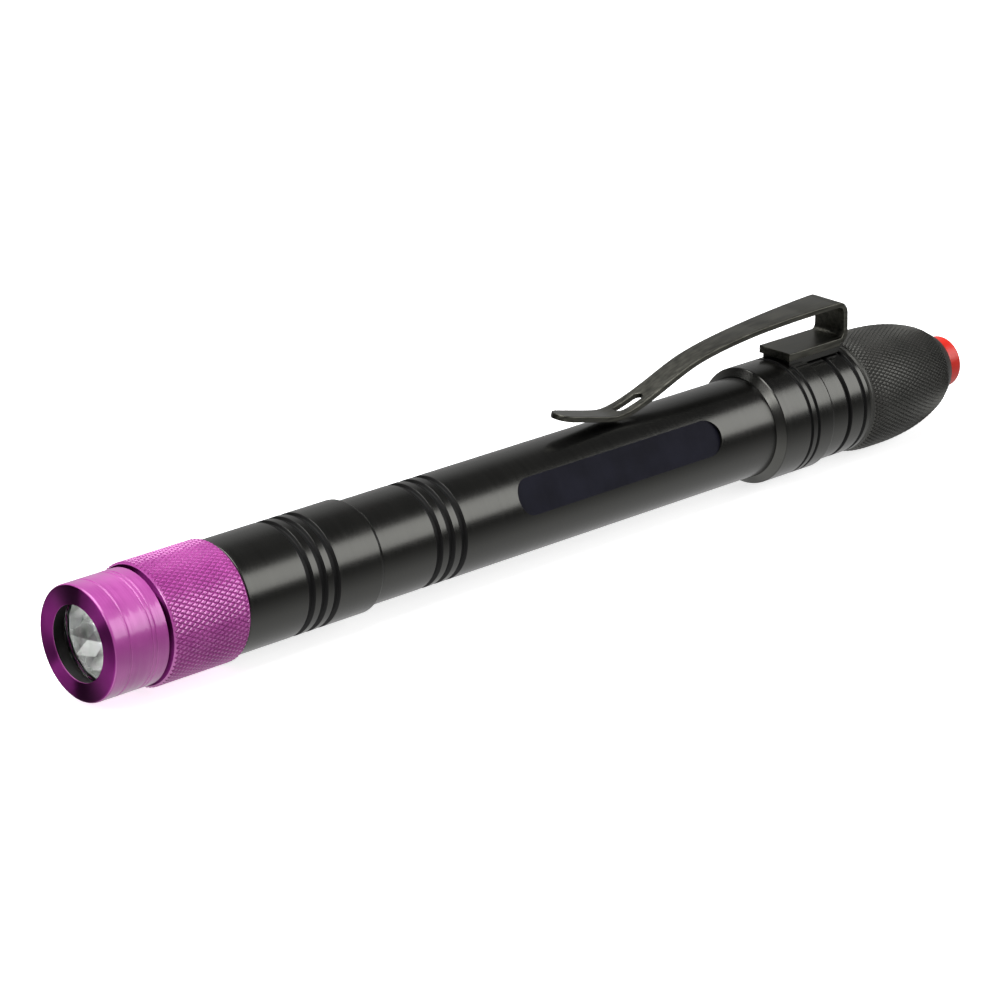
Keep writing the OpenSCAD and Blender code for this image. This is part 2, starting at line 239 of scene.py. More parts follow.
def diamond(bm, corners, base, top_share, height):
    """One raised diamond or half diamond: sloped sides round a small flat top.

    base holds the extra vertices on a side that borders a plain ring, by the side's two corners.
    """
    centre = sum((v.co for v in corners), Vector()) / len(corners)
    top = []
    for v in corners:
        point = centre.lerp(v.co, top_share)
        distance = math.hypot(v.co.y, v.co.z - AXIS_Z)
        across = Vector((0, point.y, point.z - AXIS_Z))
        lift = (distance + height * MM) / across.length
        top.append(bm.verts.new((point.x, across.y * lift, AXIS_Z + across.z * lift)))
    bm.faces.new(top).smooth = False
    for i, v in enumerate(corners):
        after = (i + 1) % len(corners)
        extra = base.get((i, after), [])
        side = [v, *extra, corners[after], top[after], top[i]]
        bm.faces.new(side).smooth = False


def knurl(bm, first, last, radius_at, start, end, count, rows, height, top_share=0.42):
    """A diamond knurl between two rings. radius_at gives the bottom radius at a station."""
    step = len(first) // count
    lattice = [first[::step]]
    for row in range(1, rows):
        station = start + (end - start) * row / rows
        radius = radius_at(station)
        shift = 0.5 * (row % 2)
        angles = [2 * math.pi * (k + shift) / count for k in range(count)]
        lattice.append([
            bm.verts.new(place(station, radius * math.sin(a), radius * math.cos(a))) for a in angles
        ])
    lattice.append(last[::step])
    for row in range(rows + 1):
        shift = row % 2
        for k in range(count):
            left, right = lattice[row][k], lattice[row][(k + 1) % count]
            middle = (k + shift) % count
            if row == 0:
                between = first[k * step + 1:(k + 1) * step]
                corners = [left, lattice[1][middle], right]
                diamond(bm, corners, {(2, 0): between[::-1]}, top_share, height)
            elif row == rows:
                between = last[k * step + 1:(k + 1) * step]
                corners = [left, right, lattice[row - 1][middle]]
                diamond(bm, corners, {(0, 1): between}, top_share, height)
            else:
                corners = [left, lattice[row + 1][middle], right, lattice[row - 1][middle]]
                diamond(bm, corners, {}, top_share, height)


def knurled(name, front, rear, radius_at, count, rows, height):
    """A turned piece with a knurled band between its front outline and its rear outline."""
    bm = bmesh.new()
    a = add_rings(bm, front, 3 * count)
    b = add_rings(bm, rear, 3 * count)
    join_chain(bm, a)
    join_chain(bm, b)
    join_rings(bm, b[-1], a[0])
    smooth_faces(bm)
    knurl(bm, a[-1], b[0], radius_at, front[-1][1], rear[0][1], count, rows, height)
    return finished(bm, name)


def thread_rows(crest, start, end, pitch, per_turn=8):
    """Outline points close enough together for cut_thread to shape."""
    rows = int((end - start) / pitch * per_turn)
    return [Vector((crest, start + (end - start) * k / rows)) for k in range(rows + 1)]


def cut_thread(piece, crest, start, end, pitch, depth):
    """Presses a helical thread into the vertices that lie on the crest between two stations."""
    on_crest, valley_rise, valley_slope = 0.02, 1.6, 3.4
    for v in piece.data.vertices:
        station = (v.co.x - FACE_X) / MM
        y, z = v.co.y / MM, (v.co.z - AXIS_Z) / MM
        radius = math.hypot(y, z)
        if not start <= station <= end or abs(radius - crest) > on_crest:
            continue
        turn = (station / pitch + math.atan2(y, z) / (2 * math.pi)) % 1.0
        valley = min(1.0, max(0.0, valley_rise - valley_slope * abs(turn - 0.5)))
        fade = min(1.0, (station - start) / pitch, (end - station) / pitch)
        scale = 1 - depth * valley * fade / radius
        v.co.y, v.co.z = v.co.y * scale, AXIS_Z + (v.co.z - AXIS_Z) * scale


def cut_away(piece, cutter):
    """Subtracts one mesh from another, and removes the cutter."""
    modifier = piece.modifiers.new("cut", "BOOLEAN")
    modifier.operation = "DIFFERENCE"
    modifier.solver = "EXACT"
    modifier.object = cutter
    graph = bpy.context.evaluated_depsgraph_get()
    mesh = bpy.data.meshes.new_from_object(piece.evaluated_get(graph))
    piece.modifiers.clear()
    piece.data = mesh
    mesh.set_sharp_from_angle(angle=math.radians(SHARP_ANGLE))
    bpy.data.objects.remove(cutter)


def prism(name, outline, bottom, top, turn=0.0):
    """A straight prism over an outline of (station, across) points, turned about the pen's axis."""
    bm = bmesh.new()
    floor = [bm.verts.new(place(s, y, bottom)) for s, y in outline]
    face = bm.faces.new(floor)
    made = bmesh.ops.extrude_face_region(bm, geom=[face])
    lifted = [v for v in made["geom"] if isinstance(v, bmesh.types.BMVert)]
    bmesh.ops.translate(bm, verts=lifted, vec=(0, 0, (top - bottom) * MM))
    bmesh.ops.rotate(bm, verts=bm.verts[:], cent=place(0), matrix=Matrix.Rotation(turn, 3, "X"))
    smooth_faces(bm)
    return finished(bm, name)


def slot_outline(start, end, width, steps=20):
    """Plan outline of a slot with round ends."""
    r = width / 2
    points = []
    for centre, first in ((end - r, -90), (start + r, 90)):
        for k in range(steps + 1):
            angle = math.radians(first + 180 * k / steps)
            points.append((centre + r * math.cos(angle), r * math.sin(angle)))
    return points


# ---------------------------------------------------------------- materials


def new_material(name, color, roughness, metallic=0.0, **inputs):
    """A Principled material. The extra inputs are set on the shader's own sockets."""
    material = bpy.data.materials.new(name)
    material.use_nodes = True
    tree = material.node_tree
    shader = tree.nodes["Principled BSDF"]
    shader.inputs["Base Color"].default_value = (*color, 1.0)
    shader.inputs["Roughness"].default_value = roughness
    shader.inputs["Metallic"].default_value = metallic
    for key, value in inputs.items():
        shader.inputs[key.replace("_", " ")].default_value = value
    return material, tree, shader


def noise(tree, scale, stretch=(1.0, 1.0, 1.0), detail=3.0):
    """A noise pattern in the piece's own coordinates. scale is in cells per metre."""
    where = tree.nodes.new("ShaderNodeTexCoord")
    mapping = tree.nodes.new("ShaderNodeMapping")
    mapping.inputs["Scale"].default_value = stretch
    pattern = tree.nodes.new("ShaderNodeTexNoise")
    pattern.inputs["Scale"].default_value = scale
    pattern.inputs["Detail"].default_value = detail
    tree.links.new(where.outputs["Object"], mapping.inputs["Vector"])
    tree.links.new(mapping.outputs["Vector"], pattern.inputs["Vector"])
    return pattern.outputs["Fac"]


def ramp(tree, value, low, high, start=0.35, end=0.65):
    """Turns a pattern's value into a colour between low and high."""
    node = tree.nodes.new("ShaderNodeValToRGB")
    node.color_ramp.elements[0].position = start
    node.color_ramp.elements[0].color = (*low, 1.0)
    node.color_ramp.elements[1].position = end
    node.color_ramp.elements[1].color = (*high, 1.0)
    tree.links.new(value, node.inputs["Fac"])
    return node.outputs["Color"]


def spread(tree, value, low, high, start=0.3, end=0.7):
    """Maps a pattern's value to the range from low to high."""
    node = tree.nodes.new("ShaderNodeMapRange")
    node.inputs["From Min"].default_value = start
    node.inputs["From Max"].default_value = end
    node.inputs["To Min"].default_value = low
    node.inputs["To Max"].default_value = high
    tree.links.new(value, node.inputs["Value"])
    return node.outputs["Result"]


def combine(tree, operation, first, second):
    """The result of one operation on two values of a node tree."""
    node = tree.nodes.new("ShaderNodeMath")
    node.operation = operation
    tree.links.new(first, node.inputs[0])
    tree.links.new(second, node.inputs[1])
    return node.outputs[0]


def bump(tree, shader, height, strength, distance, below=None):
    """Adds relief to the shader, on top of another bump's normal if one is given."""
    node = tree.nodes.new("ShaderNodeBump")
    node.inputs["Strength"].default_value = strength
    node.inputs["Distance"].default_value = distance
    tree.links.new(height, node.inputs["Height"])
    if below is not None:
        tree.links.new(below, node.inputs["Normal"])
    tree.links.new(node.outputs["Normal"], shader.inputs["Normal"])
    return node.outputs["Normal"]


# Fine rings left by the lathe run round the pen: the pattern changes along X only.
ALONG_ONLY = (1.0, 0.0, 0.0)


def anodised(name, dark, light, roughness, metallic=0.0, ring_strength=0.03, ring_depth=0.02,
             **inputs):
    """Dyed anodised aluminium: faint lathe rings, a fine blasted grain and slight cloudiness."""
    material, tree, shader = new_material(name, light, roughness, metallic, **inputs)
    clouds = noise(tree, 220.0, detail=4.0)
    tree.links.new(ramp(tree, clouds, dark, light), shader.inputs["Base Color"])
    rings = noise(tree, 1700.0, ALONG_ONLY, detail=1.0)
    tree.links.new(spread(tree, rings, roughness - 0.02, roughness + 0.03), shader.inputs["Roughness"])
    lathe_bump = bump(tree, shader, rings, ring_strength, ring_depth * MM)
    grain_bump = bump(tree, shader, noise(tree, 9000.0, detail=2.0), 0.10, 0.01 * MM, lathe_bump)
    tree.links.new(grain_bump, shader.inputs["Coat Normal"])
    return material


def turn_marks_about_x(material):
    """Lets the shader's uneven highlight follow tool marks that run round the pen's axis."""
    tree = material.node_tree
    marks = tree.nodes.new("ShaderNodeTangent")
    marks.direction_type = "RADIAL"
    marks.axis = "X"
    tree.links.new(marks.outputs["Tangent"], tree.nodes["Principled BSDF"].inputs["Tangent"])


def metal(name, dark, light, roughness, stretch=(1.0, 1.0, 1.0), grain=2500.0, relief=0.15):
    """Bare or plated metal with a fine grain and slightly uneven polish."""
    material, tree, shader = new_material(name, light, roughness, 1.0)
    streaks = noise(tree, grain, stretch, detail=4.0)
    tree.links.new(ramp(tree, streaks, dark, light), shader.inputs["Base Color"])
    polish = spread(tree, streaks, roughness - 0.06, roughness + 0.08)
    tree.links.new(polish, shader.inputs["Roughness"])
    bump(tree, shader, streaks, relief, 0.01 * MM)
    return material


def moulded(name, dark, light, roughness, grain=3500.0, **inputs):
    """Moulded plastic or rubber with a fine satin texture and slight mottling."""
    material, tree, shader = new_material(name, light, roughness, **inputs)
    tree.links.new(ramp(tree, noise(tree, 400.0), dark, light), shader.inputs["Base Color"])
    texture = noise(tree, grain, detail=2.0)
    sheen = spread(tree, texture, roughness - 0.05, roughness + 0.07)
    tree.links.new(sheen, shader.inputs["Roughness"])
    bump(tree, shader, texture, 0.12, 0.02 * MM)
    return material


def clear(name, color, roughness, ior):
    """Clear glass or epoxy with faint dust and polishing haze."""
    material, tree, shader = new_material(name, color, roughness, IOR=ior, Transmission_Weight=1.0)
    haze = noise(tree, 900.0, detail=4.0)
    tree.links.new(spread(tree, haze, roughness, roughness + 0.03), shader.inputs["Roughness"])
    tree.links.new(ramp(tree, haze, color, (1.0, 1.0, 1.0)), shader.inputs["Base Color"])
    return material


VIOLET = anodised(
    "violet_anodised", (0.44, 0.064, 0.345), (0.54, 0.100, 0.425), 0.34,
    metallic=0.15, ring_strength=0.80, ring_depth=0.10, Coat_Weight=0.75, Coat_Roughness=0.12,
)
# Darker metallic copy of the violet for the front face and the undercut: painted shade, on a turned
# face whose marks run round the axis.
VIOLET_SHADED_FACE = anodised(
    "violet_turned_face_painted_shade", (0.23, 0.02, 0.19), (0.31, 0.036, 0.26), 0.40,
    metallic=1.0, ring_strength=0.03, Anisotropic=1.0, Anisotropic_Rotation=0.25,
)
turn_marks_about_x(VIOLET_SHADED_FACE)
BLACK = anodised(
    "black_anodised", (0.0015, 0.0015, 0.0015), (0.0032, 0.0032, 0.0030), 0.24,
    Specular_IOR_Level=0.8, Specular_Tint=(1.0, 1.0, 0.93, 1.0),
)
BLACK_GRIP = anodised(
    "black_anodised_grip", (0.020, 0.020, 0.0185), (0.032, 0.031, 0.029), 0.42,
    ring_strength=0.03, Specular_IOR_Level=0.6, Specular_Tint=(1.0, 1.0, 0.93, 1.0),
)
# Black anodise for groove walls and floors: rougher, and darker with weaker reflection as painted shade
# in the grooves.
BLACK_GROOVE_SHADE = anodised(
    "black_anodised_groove_painted_shade", (0.0012, 0.0012, 0.0012), (0.0026, 0.0026, 0.0024), 0.50,
    Specular_IOR_Level=0.22,
)
PANEL = anodised(
    "label_panel_finish", (0.004, 0.004, 0.009), (0.008, 0.008, 0.016), 0.50,
    ring_strength=0.02, Specular_IOR_Level=0.08,
)
CLIP_STEEL = metal(
    "clip_steel", (0.066, 0.066, 0.056), (0.122, 0.120, 0.102), 0.36, stretch=(0.12, 1.0, 1.0),
)
WINDOW = clear("window_clear", (0.98, 0.99, 1.0), 0.02, 1.49)
EPOXY = clear("led_clear", (0.93, 0.91, 1.0), 0.03, 1.54)
REFLECTOR = metal(
    "reflector_silver", (0.88, 0.90, 0.87), (0.95, 0.96, 0.94), 0.26, grain=300.0, relief=0.03,
)
LEAD_FRAME = metal("led_lead_frame", (0.55, 0.55, 0.53), (0.75, 0.75, 0.72), 0.30)
BRASS = metal("brass_bright", (0.52, 0.36, 0.13), (0.74, 0.55, 0.24), 0.28, ALONG_ONLY)
SPRING = metal("spring_wire", (0.50, 0.50, 0.50), (0.68, 0.68, 0.69), 0.26)
WRAP = anodised("battery_wrap", (0.10, 0.11, 0.12), (0.20, 0.21, 0.22), 0.30, metallic=0.6)
BOARD = moulded(
    "circuit_board", (0.010, 0.085, 0.035), (0.018, 0.13, 0.055), 0.35, grain=1500.0,
)
CHIPS = moulded("black_parts", (0.012, 0.012, 0.012), (0.03, 0.03, 0.03), 0.45)
RUBBER = moulded("rubber_black", (0.008, 0.008, 0.008), (0.018, 0.018, 0.017), 0.58)
NYLON = moulded("switch_plastic", (0.012, 0.012, 0.013), (0.028, 0.028, 0.03), 0.42)
ACETAL = moulded("plunger_plastic", (0.60, 0.58, 0.50), (0.76, 0.74, 0.67), 0.38)
BUTTON = moulded(
    "button_plastic", (0.60, 0.020, 0.012), (0.68, 0.028, 0.015), 0.34, grain=2500.0,
)

SLOT_MATERIALS = {
    "violet_anodised": VIOLET, "black_anodised": BLACK, "clip_steel": CLIP_STEEL,
    "button_plastic": BUTTON, "window_clear": WINDOW, "reflector_silver": REFLECTOR,
    "led_clear": EPOXY, "circuit_board": BOARD, "black_parts": CHIPS, "brass_bright": BRASS,
    "rubber_black": RUBBER, "spring_wire": SPRING, "battery_wrap": WRAP,
    "switch_plastic": NYLON, "plunger_plastic": ACETAL,
}


def dress(piece, body, slot, material, *nodes):
    """Gives a piece its material, its body and the CAD nodes it stands for. The slot name is not used.
    """
    piece.data.materials.clear()
    piece.data.materials.append(material)
    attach(piece, body)
    if nodes:
        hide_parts(*nodes)
    return piece


# ---------------------------------------------------------------- head


def make_head_bezel():
    lip, opening, bore, seat = 6.69, 4.4, 6.05, 5.65
    seal_start, seal_inner = station_low("window_seal"), 4.85
    undercut_start, undercut_end, undercut = 7.35, 7.85, 6.0
    seat_end = 9.4
    count, rows, height = 72, 18, 0.16
    bottom = GRIP_RADIUS - height
    front = supported(rounded([
        (bore, HEAD_END), (bore, seat_end), (seat, seat_end), (seat, seal_start),
        (seal_inner, seal_start),
        (opening, 0.16, 0.04), (opening, 0.06, 0.05), (5.7, 0.0, 0.25), (lip, 0.0, 0.32),
        *groove(2.15, 0.30, 0.10, lip),
        *groove(5.15, 0.24, 0.08, lip, 0.04), *groove(5.70, 0.24, 0.08, lip, 0.04),
        (lip, undercut_start, 0.10), (undercut, undercut_start + 0.05, 0.06),
        (undercut, undercut_end - 0.02, 0.06), (bottom - 0.12, undercut_end, 0.04),
        (bottom, undercut_end + 0.1),
    ]))
    rear = supported(rounded([
        (bottom, HEAD_END - 0.3), (bottom - 0.12, HEAD_END - 0.1, 0.06),
        (bottom - 0.30, HEAD_END, 0.05), (bore + 0.05, HEAD_END),
    ]))
    piece = knurled("head_bezel_shell", front, rear, lambda station: bottom, count, rows, height)
    dress(piece, "bezel", "violet_anodised", VIOLET, "head_bezel")
    piece.data.materials.append(VIOLET_SHADED_FACE)
    # The front face, its lip and the undercut get the darker violet: painted shade.
    facing_front, front_depth = -0.75, 0.3
    for face in piece.data.polygons:
        station = (face.center.x - FACE_X) / MM
        shaded_front = face.normal.x < facing_front and station < front_depth
        if shaded_front or undercut_start < station < undercut_end + 0.02:
            face.material_index = 1
    return piece


def make_window():
    start, end = station_low("front_window"), station_high("front_window")
    radius = radius_of("front_window")
    piece = lathe("front_window_lens", supported(rounded([
        (0.0, start), (radius - 0.25, start, 0.1), (radius, start + 0.2, 0.1),
        (radius, end - 0.1, 0.1), (radius - 0.1, end, 0.05), (0.0, end),
    ])), closed=False)
    return dress(piece, "window_carrier", "window_clear", WINDOW, "front_window")


def make_seal():
    start, end = station_low("window_seal") + 0.02, station_high("window_seal")
    outer, inner = radius_of("window_seal"), 4.85
    piece = lathe("window_seal_ring", supported(rounded([
        (outer, start), (outer, end), (inner, end, 0.15), (inner - 0.1, (start + end) / 2, 0.3),
        (inner, start, 0.15), (outer, start),
    ])[:-1]))
    return dress(piece, "window_carrier", "rubber_black", RUBBER, "window_seal")


def make_reflector():
    """A stamped cup whose inner wall is cut into flat facets that step round from row to row."""
    facets = 14
    start, end = station_low("reflector"), station_high("reflector")
    rim = radius_of("reflector")
    neck_start = 9.6
    rows = [
        (rim - 0.35, start), (4.75, 5.6), (4.1, 7.0), (3.35, 8.4), (2.62, 9.4),
        (2.62, end), (3.4, end), (3.4, neck_start), (rim, neck_start), (rim, start),
    ]
    turned_rows = (1, 3)
    bm = bmesh.new()
    rings = []
    for i, (radius, station) in enumerate(rows):
        shift = 0.5 if i in turned_rows else 0.0
        ring = []
        for k in range(facets):
            angle = 2 * math.pi * (k + shift) / facets
            y, height = radius * math.sin(angle), radius * math.cos(angle)
            ring.append(bm.verts.new(place(station, y, height)))
        rings.append(ring)
    for i, first in enumerate(rings):
        second = rings[(i + 1) % len(rings)]
        first_shift, second_shift = i in turned_rows, (i + 1) % len(rings) in turned_rows
        for k in range(facets):
            after = (k + 1) % facets
            if first_shift == second_shift:
                bm.faces.new((first[k], first[after], second[after], second[k]))
            elif second_shift:
                bm.faces.new((first[k], first[after], second[k]))
                bm.faces.new((first[after], second[after], second[k]))
            else:
                bm.faces.new((first[k], first[after], second[after]))
                bm.faces.new((first[k], second[after], second[k]))
    for face in bm.faces:
        face.smooth = False
    piece = finished(bm, "reflector_cup")
    return dress(piece, "barrel", "reflector_silver", REFLECTOR, "reflector")


def make_led():
    """Five-millimetre LED: clear domed body, with its lead frame cast inside."""
    tip, end, radius, flange = station_low("uv_led"), 14.2, 2.5, 13.2
    dome = [(radius * math.sin(a), tip + radius * (1 - math.cos(a)))
            for a in (math.radians(9 * k) for k in range(11))]
    body = lathe("led_body", supported([Vector(p) for p in dome] + rounded([
        (radius, 8.2), (radius, flange, 0.05), (2.9, flange, 0.08), (2.9, end, 0.08), (0.0, end),
    ])[1:]), segments=96, closed=False)
    dress(body, "barrel", "led_clear", EPOXY, "uv_led")
    cup = lathe("led_lead_frame", supported(rounded([
        (0.0, 8.3), (0.35, 8.3), (0.75, 7.75, 0.05), (0.9, 7.75, 0.05), (0.9, 8.9, 0.1),
        (0.45, 9.4, 0.1), (0.45, 13.8), (0.0, 13.8),
    ])), segments=48, closed=False)
    dress(cup, "barrel", "spring_wire", LEAD_FRAME)


# ---------------------------------------------------------------- tubes

TUBE_GROOVE_WIDTH = 0.95
FRONT_GROOVES = (27.6, 29.45, 31.3)
BARREL_GROOVES = (47.15, 49.05, 50.95)


def paint_groove_shade(piece, stations, width, land):
    """Gives the walls and floors of turned grooves a rougher finish, and a darker colour that reflects
    less: painted shade in the grooves.

    land is the radius of the plain surface on both sides of the grooves.
    """
    shallowest, deepest = 0.008, 0.6
    reach = width / 2 + 0.02
    index = piece.data.materials.find(BLACK_GROOVE_SHADE.name)
    if index < 0:
        index = len(piece.data.materials)
        piece.data.materials.append(BLACK_GROOVE_SHADE)
    # Faces inside the grooves get the painted groove shade.
    for face in piece.data.polygons:
        station = (face.center.x - FACE_X) / MM
        depth = land - math.hypot(face.center.y, face.center.z - AXIS_Z) / MM
        if shallowest < depth < deepest and any(abs(station - s) < reach for s in stations):
            face.material_index = index


def make_front_tube():
    start, nose, pitch = station_low("front_tube"), 6.0, 0.75
    seal_start, seal_end, shoulder = HEAD_END - 1.1, HEAD_END - 0.5, HEAD_END + 0.1
    thread_start, thread_end, thread_depth = start + 0.35, seal_start - 0.3, 0.34
    socket, bore, pill = 6.12, 5.5, 5.35
    socket_start, pill_end = 32.4, 23.0
    outline = rounded([(pill, start), (nose - 0.35, start, 0.1), (nose, start + 0.3)])
    outline += thread_rows(nose, thread_start, thread_end, pitch)
    outline += rounded([
        (nose, seal_start - 0.2), (nose, seal_start, 0.05), (nose - 0.6, seal_start, 0.05),
        (nose - 0.6, seal_end, 0.05), (nose, seal_end, 0.05), (nose, shoulder, 0.05),
        (FRONT_RADIUS, shoulder, 0.15),
        *[p for s in FRONT_GROOVES for p in groove(s, TUBE_GROOVE_WIDTH, GROOVE_DEPTH, FRONT_RADIUS)],
        (FRONT_RADIUS, JOINT - 0.62, 0.06), (BARREL_RADIUS + 0.04, JOINT, 0.05), (socket, JOINT),
        (socket, socket_start), (bore, socket_start), (bore, pill_end), (pill, pill_end),
    ])
    piece = lathe("front_tube_shell", supported(outline))
    cut_thread(piece, nose, thread_start, thread_end, pitch, thread_depth)
    dress(piece, "barrel", "black_anodised", BLACK, "front_tube")
    paint_groove_shade(piece, FRONT_GROOVES, TUBE_GROOVE_WIDTH, FRONT_RADIUS)
    return piece


PANEL_ANGLE = math.radians(64)
PANEL_START, PANEL_LENGTH, PANEL_WIDTH = 60.1, 33.5, 4.5


def make_barrel():
    """The battery tube, with a flat milled panel that has round ends."""
    start, end = station_low("main_barrel"), station_high("main_barrel")
    bore, spigot, sleeve_seat = 5.5, 6.1, SLEEVE_START + 0.1
    outline = supported(rounded([
        (bore, start), (spigot, start, 0.1), (spigot, JOINT), (BARREL_RADIUS, JOINT, 0.06),
        *[p for s in BARREL_GROOVES for p in groove(s, TUBE_GROOVE_WIDTH, GROOVE_DEPTH, BARREL_RADIUS)],
        (BARREL_RADIUS, sleeve_seat), (spigot, sleeve_seat), (spigot, end, 0.1), (bore, end),
    ]))
    piece = lathe("main_barrel_shell", outline)
    panel_height = math.sqrt(BARREL_RADIUS ** 2 - (PANEL_WIDTH / 2) ** 2)
    plan = slot_outline(PANEL_START, PANEL_START + PANEL_LENGTH, PANEL_WIDTH)
    cut_away(piece, prism("panel_cutter", plan, panel_height, BARREL_RADIUS + 1, PANEL_ANGLE))
    dress(piece, "barrel", "black_anodised", BLACK, "main_barrel")
    piece.data.materials.append(PANEL)
    facing = Vector((0, -math.sin(PANEL_ANGLE), math.cos(PANEL_ANGLE)))
    level, almost_level, almost_facing = panel_height * MM, 1e-6, 0.9999
    in_panel = []
    for face in piece.data.polygons:
        height = (face.center - place(0)).dot(facing)
        if face.normal.dot(facing) > almost_facing and abs(height - level) < almost_level:
            face.material_index = 1
            in_panel.append(set(face.edge_keys))
    flat_edges = set().union(*in_panel)
    for edge in piece.data.edges:
        if tuple(sorted(edge.vertices)) in flat_edges:
            edge.use_edge_sharp = True
    paint_groove_shade(piece, BARREL_GROOVES, TUBE_GROOVE_WIDTH, BARREL_RADIUS)
    return piece


# ---------------------------------------------------------------- tail


def make_sleeve():
    """The stepped collar and the ribbed waist behind it, cut out at the top for the clip's foot."""
    socket, cap_socket, waist = 6.12, 6.0, 6.95
    collar_end, bore_step = 112.2, 113.4
    collar_grooves, collar_groove_width = (108.05, 109.25), 0.50
    waist_grooves, waist_groove_width = (115.3, 118.1), 0.75
    outline = supported(rounded([
        (socket, bore_step), (socket, SLEEVE_START), (BARREL_RADIUS + 0.08, SLEEVE_START, 0.04),
        (COLLAR_RADIUS, SLEEVE_START + 0.75, 0.12),
        *[p for s in collar_grooves for p in groove(s, collar_groove_width, 0.24, COLLAR_RADIUS, 0.05)],
        (COLLAR_RADIUS, collar_end - 0.3, 0.12), (waist, collar_end + 0.1, 0.1),
        *groove(waist_grooves[0], waist_groove_width, 0.42, waist),
        *groove(waist_grooves[1], 0.6, 0.26, waist),
        (waist, SLEEVE_END, 0.12), (cap_socket, SLEEVE_END, 0.05), (cap_socket, bore_step),
    ]))
    piece = lathe("tail_sleeve_shell", outline)
    foot_low, foot_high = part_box("clip_foot")
    margin = 0.03
    width = (foot_high.y - foot_low.y) / MM + 2 * margin
    start, floor = station_low("clip_foot") - margin, (foot_low.z - AXIS_Z) / MM
    past_end, side = SLEEVE_END + 1, width / 2
    plan = [(start, -side), (past_end, -side), (past_end, side), (start, side)]
    cut_away(piece, prism("foot_cutter", plan, floor, COLLAR_RADIUS + 2))
    dress(piece, "barrel", "black_anodised", BLACK, "tail_sleeve")
    paint_groove_shade(piece, collar_grooves, collar_groove_width, COLLAR_RADIUS)
    paint_groove_shade(piece, waist_grooves, waist_groove_width, waist)
    return piece


def through(points):
    """A smooth curve through (station, radius) points, as a function of the station."""
    stations = [p[0] for p in points]
    radii = [p[1] for p in points]
    slopes = np.gradient(radii, stations)

    def radius_at(station):
        i = min(max(np.searchsorted(stations, station) - 1, 0), len(points) - 2)
        span = stations[i + 1] - stations[i]
        t = (station - stations[i]) / span
        return ((2 * t ** 3 - 3 * t ** 2 + 1) * radii[i] + (t ** 3 - 2 * t ** 2 + t) * span * slopes[i]
                + (3 * t ** 2 - 2 * t ** 3) * radii[i + 1] + (t ** 3 - t ** 2) * span * slopes[i + 1])
    return radius_at


def make_tail_cap():
    """Screwed cap: threaded spigot, seal groove, and an egg-shaped body with a diamond knurl."""
    spigot, spigot_bore, pitch = 5.95, 4.95, 1.0
    seal_start, seal_end = 117.9, 118.4
    thread_start, thread_end, thread_depth = CAP_START + 0.3, seal_start - 0.25, 0.36
    front_face, hole, bore_end = SLEEVE_END + 0.08, 3.38, 119.4
    knurl_start, knurl_end, height = 119.75, CAP_END - 1.9, 0.14
    count, rows = 84, 32
    body = through([(119.4, 7.05), (121.3, 7.38), (123.5, 7.45), (127, 7.37), (130.9, 6.84),
                    (134.9, 5.62), (136.4, 4.93), (137.3, 4.3)])
    front = rounded([
        (hole, CAP_END - 0.1), (hole, bore_end), (spigot_bore, bore_end), (spigot_bore, CAP_START),
        (spigot, CAP_START, 0.12), (spigot, CAP_START + 0.25),
    ])
    front += thread_rows(spigot, thread_start, thread_end, pitch)
    front += rounded([
        (spigot, seal_start - 0.2), (spigot, seal_start, 0.04), (spigot - 0.5, seal_start, 0.04),
        (spigot - 0.5, seal_end, 0.04), (spigot, seal_end, 0.04), (spigot, front_face),
        (body(knurl_start) - height - 0.25, front_face, 0.1),
        (body(knurl_start) - height, front_face + 0.22, 0.1), (body(knurl_start) - height, knurl_start),
    ])
    rear_stations = np.linspace(knurl_end, CAP_END - 0.35, 8)
    rear = [Vector((body(s) - height * (1 - k / 7), s)) for k, s in enumerate(rear_stations)]
    rear += rounded([
        tuple(rear[-1]), (4.15, CAP_END - 0.06, 0.1), (3.95, CAP_END, 0.08),
        (hole + 0.1, CAP_END, 0.06), (hole, CAP_END - 0.12),
    ])[1:-1]
    piece = knurled("tail_cap_shell", supported(front), supported(rear),
                    lambda station: body(station) - height, count, rows, height)
    cut_thread(piece, spigot, thread_start, thread_end, pitch, thread_depth)
    return dress(piece, "cap", "black_anodised", BLACK_GRIP, "tail_cap")


def make_button():
    flange, radius, flange_end = radius_of("push_button"), 3.3, BUTTON_START + 1.5
    dome_start = PEN_END - 1.0
    dome = [(radius - 0.55 * (1 - math.cos(a)), dome_start + 0.55 * math.sin(a))
            for a in (math.radians(9 * k) for k in range(11))]
    crown = [(radius - 0.55) * math.cos(math.radians(15 * k)) for k in range(1, 7)]
    top = [(r, dome_start + 0.55 + 0.45 * (1 - (r / (radius - 0.55)) ** 2)) for r in crown[:-1]]
    piece = lathe("push_button_cap", supported(rounded([
        (0.0, BUTTON_START), (flange, BUTTON_START, 0.1), (flange, flange_end, 0.1),
        (radius, flange_end, 0.05), (radius, dome_start),
    ])[:-1] + [Vector(p) for p in dome + top + [(0.0, PEN_END)]]), closed=False)
    return dress(piece, "button", "button_plastic", BUTTON, "push_button")


